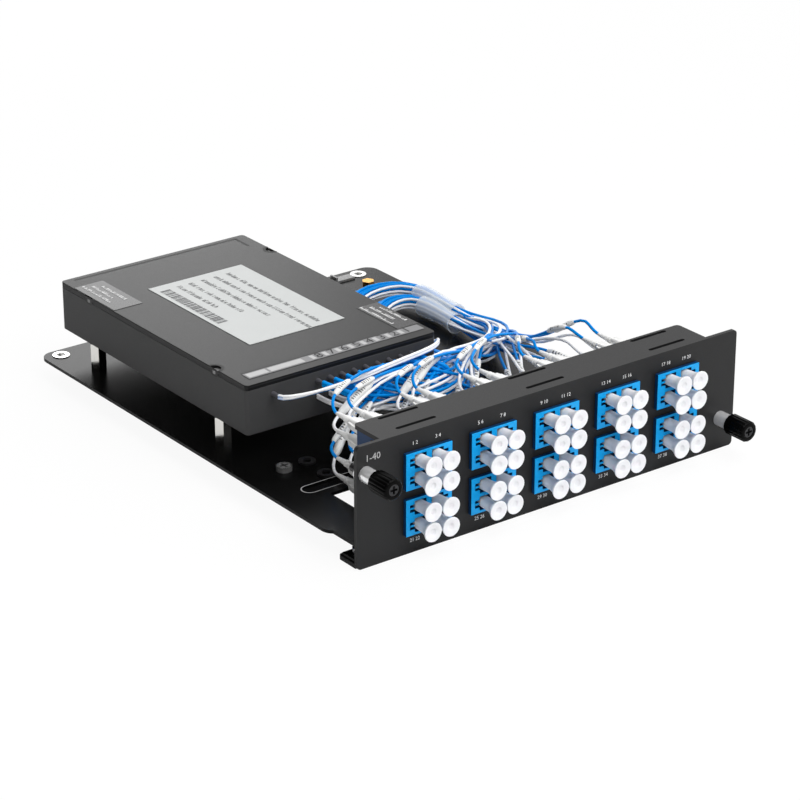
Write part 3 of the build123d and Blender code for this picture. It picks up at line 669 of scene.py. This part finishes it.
def port_shade_linings():
    """Painted shade: dark navy squares inside the front ports, so that each mouth reads deep behind its cap.
    """
    square = [(-2.3, 2.0, -2.4), (2.3, 2.0, -2.4), (2.3, 2.0, 2.4), (-2.3, 2.0, 2.4)]
    places = [(x, 0.0, z) for column, index, x, z, side in ports()]
    cloud, rows = repeated(square, [[0, 1, 2, 3]], places)
    piece("port_shade_linings", cloud, rows, navy_painted_port_shade, slot="adapter_blue")


port_shade_linings()


def latch_ribs():
    """A thin blue rib down the middle of each port's latch groove, set back a little from the collar's
    face."""
    shapes = []
    sides = [[0, 1, 2, 3], [0, 4, 5, 1], [3, 2, 6, 7], [0, 3, 7, 4], [1, 5, 6, 2]]
    half = 0.32
    for column, index, x, z, side in ports():
        low, high = sorted((x + side * 2.45, x + side * 4.15))
        outline = ((low, -half), (high, -half), (high, half), (low, half))
        corners = [(a, y, z + h) for y in (collar_front + 0.08, 1.0) for a, h in outline]
        shapes.append((corners, sides))
    piece("latch_ribs", *joined(shapes), adapter_blue, slot="adapter_blue")


latch_ribs()


# Dust caps
def dust_caps():
    """Soft caps turned about Y: a slightly tapered stem flares into the head, whose end has a round dimple.
    Each leans away from its block's middle, by one degree sideways and three up or down, give or take half a
    degree, and sits a little more or less deep."""
    profile = [(0.9, 0.001), (0.9, 1.9), (0.5, 2.05), (-3.0, 2.08), (-6.2, 2.12), (-7.2, 2.28), (-8.1, 2.56),
               (-8.9, 2.92), (-9.5, 3.22), (-9.8, 3.36), (-10.05, 3.4), (-10.2, 3.33), (-10.22, 3.1),
               (-10.15, 2.7), (-10.02, 2.1), (-9.95, 1.5), (-9.88, 1.3), (-9.62, 1.12), (-9.5, 0.9),
               (-9.45, 0.5), (-9.44, 0.001)]
    points, faces = turned_y(profile[::-1], 28)
    reach = points[..., 1] + 1.1
    sideways, upward = 0.0175, 0.0524
    for row, row_name in enumerate(row_names):
        for column in range(columns):
            shapes = []
            for port_column, index, x, z, side in ports([row]):
                if port_column != column:
                    continue
                level = 1 - index % 2 * 2
                lean = rng.uniform(-0.008, 0.008, 2) - (sideways * side, upward * level)
                turned = points.copy()
                turned[..., 0] += lean[0] * reach
                turned[..., 2] += lean[1] * reach
                shapes.append((turned + (x, rng.uniform(-0.2, 0.2), z), faces))
            name = f"caps_{row_name}_{column + 1}"
            caps = piece(name, *joined(shapes), cap_milk, slot="cap_white")
            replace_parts(caps, f"dust_caps_{row_name}_{column + 1}")


dust_caps()


# Thumbscrews
def thumbscrew(side):
    """The ribbed knob, one wall of rings about Y that is bored from behind: on rings wider than 3.4 the
    radius is times 1 - d + d |cos 8a|^0.6, where d is a twentieth. Screw, ferrule and washer keep the CAD's
    shapes."""
    x, z = thumbscrews[side]
    back = knob_back
    front = back - knob_length
    profile = np.array([(front, 2.05), (front, 2.8), (front + 0.1, 3.2), (front + 0.45, 3.6),
                        (front + 0.9, 3.8), (back - 0.7, 3.8), (back - 0.2, 3.7), (back, 3.4), (back, 2.92),
                        (back - 5.9, 2.9), (back - 5.9, 2.05)])
    around = 96
    angle = -np.arange(around) / around * 2 * math.pi
    y, radius = np.repeat(profile.T[..., None], around, 2)
    depth = np.where(radius > 3.4, 0.05, 0.0)
    radius = radius * (1 - depth + depth * np.abs(np.cos(angle * 8)) ** 0.6)
    points = np.stack([radius * np.cos(angle), y, radius * np.sin(angle)], -1) + (x, 0, z)
    faces = ring_faces(len(profile), around, tube=True)
    knob = piece(f"{side}_knob_shell", points, faces, knob_black, f"{side}_thumbscrew", slot="knob_black")
    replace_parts(knob, f"{side}_knob")
    paint(f"{side}_screw", oxide_black)
    paint(f"{side}_ferrule", steel_bright)
    paint(f"{side}_thrust_washer", nylon)


for side in thumbscrews:
    thumbscrew(side)


# Small fittings
# The adapter clips' oxide black is partly painted shade: behind the panel the adapters lie in the panel's
# shade
for name, material in (("tray_eyelets", tin), ("foot_screws", zinc), ("standoffs", nickel),
                       ("standoff_screws", zinc), ("box_label", label_pale), ("tray_post", brass),
                       ("tray_clip", worn_grey), ("spare_screw", worn_grey), ("clinch_nuts", oxide_black),
                       ("lid_screws", worn_grey), ("adapter_clips", oxide_black)):
    paint(name, material)


def spare_screw_cross_shade():
    """The loose screw's cross recess in painted shade, two black bars laid over its head, and a painted
    highlight, a bright rim round it.
    """
    head = vertex_rows(nodes["spare_screw"].data) / MM
    low, high = head.min(0), head.max(0)
    x, y, top = (low[0] + high[0]) / 2, (low[1] + high[1]) / 2, high[2]
    reach = (high[0] - low[0]) / 2
    long, wide = 0.6 * reach, 0.35
    bars = [(x - long, x + long, y - wide, y + wide), (x - wide, x + wide, y - long, y + long)]
    flat_bars("spare_screw_cross_shade", bars, top, shade_print_and_seam_black, 0.0, 0.04)
    angle = np.arange(33) / 32 * 2 * math.pi
    rim = [np.stack([x + r * np.cos(angle), y + r * np.sin(angle), np.full(33, top + 0.03)], -1)
           for r in (0.8 * reach, 0.97 * reach)]
    piece("spare_screw_rim_highlight", np.concatenate(rim), [[i, i + 33, i + 34, i + 1] for i in range(32)], tin)


spare_screw_cross_shade()


# Print and painted shade on the box
film_top = box_top + 0.15
label_x, label_y = box_x0 + 41.4, box_y0 + 61.5
label_width, label_length = 40.5, 65.0
letter_tall, letter_stroke = 1.45, 0.26


def label_print():
    """Bars that stand for the label's print, which runs towards the front. A letter is an upright, often a
    second one, and a crossbar at one of three heights. A bar pattern runs along the label's left side."""
    left, front = label_x - label_width / 2, label_y - label_length / 2
    letters = []
    for across, length in ((30.7, 51.0), (25.2, 56.0), (19.7, 37.0), (14.2, 31.0), (9.2, 24.0)):
        x = left + across
        y = front + 60.5
        stop = y - length
        while y > stop:
            for letter in range(rng.integers(3, 9)):
                wide, tall = rng.uniform(0.6, 1.0), rng.choice([letter_tall, letter_tall, 2.05])
                letters.append((x, x + tall, y - letter_stroke, y))
                if rng.random() < 0.6:
                    letters.append((x, x + letter_tall, y - wide, y - wide + letter_stroke))
                bar = x + rng.choice([0.0, 0.6, 1.19])
                letters.append((bar, bar + letter_stroke, y - wide + letter_stroke, y - letter_stroke))
                y -= wide + 0.36
            y -= 0.8
    flat_bars("label_lines", letters, film_top, ink_dark)
    code = []
    y = front + 60.0
    while y > front + 22.0:
        thick = rng.choice([0.3, 0.3, 0.6, 0.9])
        code.append((left + 1.8, left + 6.0, y - thick, y))
        y -= thick + rng.choice([0.35, 0.35, 0.7])
    flat_bars("label_bar_pattern", code, film_top, ink_dark)


def seal_print():
    """Two dark seal films on the lid's edges, each with three lines of bars that stand for print."""
    films = [(box_x0 + 0.4, box_x0 + 12.4, box_y0 + 84.0, box_y0 + 111.0),
             (box_x1 - 9.4, box_x1 - 0.4, box_y0 + 9.6, box_y0 + 34.0)]
    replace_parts(flat_bars("seal_films", films, box_top, seal_grey, 0.0, 0.12), "seal_labels")
    seals = []
    for x, y in ((box_x0 + 8.6, box_y0 + 106.0), (box_x1 - 2.8, box_y0 + 29.5)):
        for line, length in enumerate((15.5, 13.5, 18.5)):
            at = y + 2.0 * line
            stop = at - length
            while at > stop:
                wide = rng.uniform(0.3, 0.7)
                tall = rng.choice([0.7, 1.3, 1.3])
                seals.append((x - 2.9 * line, x + tall - 2.9 * line, at - wide, at))
                at -= wide + 0.5
    flat_bars("seal_print", seals, film_top, ink_white)


def port_strip():
    """The film along the lid's front edge, with its pale tiles and plain numbers from one to eight."""
    strip = [(box_x0 + 4.4, box_x1 - 1.6, box_y0 + 4.6, box_y0 + 9.0)]
    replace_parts(flat_bars("port_film", strip, box_top, strip_grey, 0.0, 0.15), "port_strip")
    number_x = [box_x1 - 7.7 - 5.36 * i for i in range(8)]
    tile_x = [(x - 3.5, x - 1.9) for x in number_x]
    tile_x += [(box_x0 + 5.0, box_x0 + 13.0), (box_x0 + 14.0, box_x0 + 28.0)]
    tiles = [(x0, x1, box_y0 + 5.2, box_y0 + 8.4) for x0, x1 in tile_x]
    flat_bars("strip_tiles", tiles, film_top, tile_grey, thick=0.02)
    words = [str(i + 1) for i in range(8)]
    spots = [(x, box_y0 + 6.9, film_top) for x in number_x]
    lettering("strip_numbers", words, spots, 4.0, shade_print_and_seam_black, lift=0.06)


def lid_lines():
    """Painted shade as dark floors for the lid's grooves, and the dark seam between lid and base, which
    stops at the corners."""
    grooves = [(box_x0 + 4.5, box_x1 - 4.5, box_y0 + 9.05, box_y0 + 10.15),
               (box_x0 + 4.5, box_x1 - 4.5, box_y1 - 2.95, box_y1 - 1.85),
               (box_x1 - 5.5, box_x1 - 4.5, box_y1 - 11.45, box_y1 - 2.65)]
    flat_bars("groove_shadows", grooves, box_top, shade_print_and_seam_black, 0.0, 0.02)
    corner, proud, deep = 1.4, 0.03, 0.4
    seam = [(box_x0 + corner, box_x1 - corner, box_y0 - proud, box_y0 + deep),
            (box_x0 + corner, box_x1 - corner, box_y1 - deep, box_y1 + proud),
            (box_x0 - proud, box_x0 + deep, box_y0 + corner, box_y1 - corner),
            (box_x1 - deep, box_x1 + proud, box_y0 + corner, box_y1 - corner)]
    flat_bars("lid_seam", seam, box_top - 0.95, shade_print_and_seam_black, 0.0, 0.5)


def notch_painted_shade():
    """Painted shade round the four lid screws, as black pockets: a half-round wall lining the notch, a flat
    floor, a short drop on the box's side and a flat rim on the lid."""
    count = 13
    angle = np.linspace(-math.pi / 2, math.pi / 2, count)

    def arc(x, y, inward, radius, level):
        """A half circle about (x, y) into the box, at that level."""
        return np.stack([x + inward * radius * np.cos(angle), y + radius * np.sin(angle),
                         np.full(count, level)], -1)

    strip = [(i, i + 1, i + count + 1, i + count) for i in range(count - 1)]
    rim = [(i, i + count, i + count + 1, i + 1) for i in range(count - 1)]
    drop = ((-2.5, 0.0), (-2.5, 1.8), (-1.6, 2.7), (1.6, 2.7), (2.5, 1.8), (2.5, 0.0))
    shapes = []
    for x, inward in ((box_x0, 1), (box_x1, -1)):
        for y in (box_y0 + 19.5, box_y1 - 19.5):
            wall = [arc(x, y, inward, 2.55, box_top - depth) for depth in (1.98, 0.05)]
            shapes.append((np.concatenate(wall), strip + [tuple(range(count))]))
            shapes.append(([(x - inward * 0.04, y + s, box_top - 0.1 - d) for s, d in drop], [range(6)]))
            flat = [arc(x, y, inward, radius, box_top + 0.03) for radius in (2.45, 3.5)]
            shapes.append((np.concatenate(flat), rim))
    piece("notch_painted_shade", *joined(shapes), shade_print_and_seam_black)


label_print()
seal_print()
port_strip()
lid_lines()
notch_painted_shade()


def tray_recess_highlight():
    """A painted highlight round the tray's long recess: a pale line of two straights and two half circles, a
    third of a millimetre wide."""
    left, right, middle, radius, wide = -68.4, -31.8, 42.7, 2.7, 0.33
    angle = np.linspace(-math.pi / 2, math.pi / 2, 17)
    arc = np.stack([np.cos(angle), np.sin(angle)], -1)
    loops = []
    for r in (radius, radius + wide):
        loop = np.concatenate([arc * r + (right, middle), -arc * r + (left, middle)])
        loops.append(np.concatenate([loop, np.full((34, 1), tray_top + 0.03)], 1))
    rows = [[(i + 1) % 34, (i + 1) % 34 + 34, i + 34, i] for i in range(34)]
    piece("recess_painted_highlight", np.concatenate(loops), rows, pale_ink_and_highlight)


tray_recess_highlight()


# Numbers on the panel
def panel_numbers():
    """A pair of plain numbers above each upper duplex adapter and below each lower one, and the range on the
    left."""
    words, spots = [], []
    aside, above = 4.65, 9.0
    for row, column, x, z in block_centres():
        for side in (-1, 1):
            number = 2 * len(words) + 1
            words.append(f"{number} {number + 1}")
            spots.append((x + side * aside, panel_face, z + (above if row == 0 else -above)))
    lettering("panel_numbers", words, spots, 1.3, ink_white, tilt=90.0)
    lettering("port_range", ["1-40"], [(-74.8, panel_face, 16.8)], 2.4, pale_ink_and_highlight, tilt=90.0)


panel_numbers()


# Studio
def set_world():
    """White in the camera's sight and through clear things. In reflections and as light it brightens from the
    left to the right."""
    world = bpy.data.worlds.new("studio")
    bpy.context.scene.world = world
    world.use_nodes = True
    tree = world.node_tree
    background = tree.nodes["Background"]
    path = tree.nodes.new("ShaderNodeLightPath")
    plain = tree.nodes.new("ShaderNodeMath")
    plain.operation = "MAXIMUM"
    tree.links.new(path.outputs["Is Camera Ray"], plain.inputs[0])
    tree.links.new(path.outputs["Is Transmission Ray"], plain.inputs[1])
    way = tree.nodes.new("ShaderNodeTexCoord")
    split = tree.nodes.new("ShaderNodeSeparateXYZ")
    tree.links.new(way.outputs["Generated"], split.inputs["Vector"])
    side = tree.nodes.new("ShaderNodeMapRange")
    side.inputs["From Min"].default_value = -0.7
    side.inputs["From Max"].default_value = 0.7
    side.inputs["To Min"].default_value = 0.05
    side.inputs["To Max"].default_value = 1.25
    tree.links.new(split.outputs["X"], side.inputs["Value"])
    level = tree.nodes.new("ShaderNodeMix")
    tree.links.new(plain.outputs[0], level.inputs["Factor"])
    tree.links.new(side.outputs["Result"], level.inputs["A"])
    level.inputs["B"].default_value = 1.0
    tree.links.new(level.outputs["Result"], background.inputs["Strength"])
    background.inputs["Color"].default_value = (1.0, 1.0, 1.0, 1.0)


def set_lamps():
    """Square lamps overhead, at the left front and low at the back, all aimed at the object's middle."""
    for name, place, size, power in (("overhead_lamp", (0.05, -0.45, 0.88), 0.8, 7.6),
                                     ("front_lamp", (-0.75, -0.75, 0.60), 0.6, 1.1),
                                     ("back_lamp", (0.34, 0.85, 0.27), 0.3, 0.8)):
        lamp = bpy.data.lights.new(name, "AREA")
        lamp.shape = "SQUARE"
        lamp.size = size
        lamp.energy = power
        holder = bpy.data.objects.new(name, lamp)
        holder.location = place
        aim = Vector((0.0, 0.08, 0.0)) - Vector(place)
        holder.rotation_euler = aim.to_track_quat("-Z", "Y").to_euler()
        bpy.context.scene.collection.objects.link(holder)


def set_floor():
    """A pale floor just below the object, which glows in the camera's sight so that it reads nearly white."""
    mesh = bpy.data.meshes.new("floor")
    half, level = 4.0, -0.0218
    corners = [(-half, -half, level), (half, -half, level), (half, half, level), (-half, half, level)]
    mesh.from_pydata(corners, [], [[0, 1, 2, 3]])
    floor = bpy.data.objects.new("floor", mesh)
    bpy.context.scene.collection.objects.link(floor)
    paper = bpy.data.materials.new("paper_floor")
    paper.use_nodes = True
    tree = paper.node_tree
    matt = tree.nodes["Principled BSDF"]
    matt.inputs["Base Color"].default_value = (0.92, 0.92, 0.92, 1.0)
    matt.inputs["Roughness"].default_value = 0.9
    glow = tree.nodes.new("ShaderNodeEmission")
    glow.inputs["Strength"].default_value = 1.0
    view = tree.nodes.new("ShaderNodeLightPath")
    share = tree.nodes.new("ShaderNodeMapRange")
    share.inputs["To Max"].default_value = 0.93
    tree.links.new(view.outputs["Is Camera Ray"], share.inputs["Value"])
    blend = tree.nodes.new("ShaderNodeMixShader")
    tree.links.new(share.outputs["Result"], blend.inputs["Fac"])
    tree.links.new(matt.outputs["BSDF"], blend.inputs[1])
    tree.links.new(glow.outputs["Emission"], blend.inputs[2])
    tree.links.new(blend.outputs["Shader"], tree.nodes["Material Output"].inputs["Surface"])
    mesh.materials.append(paper)


set_world()
set_lamps()
set_floor()
bpy.context.scene.view_settings.view_transform = "Standard"

bpy.context.view_layer.update()
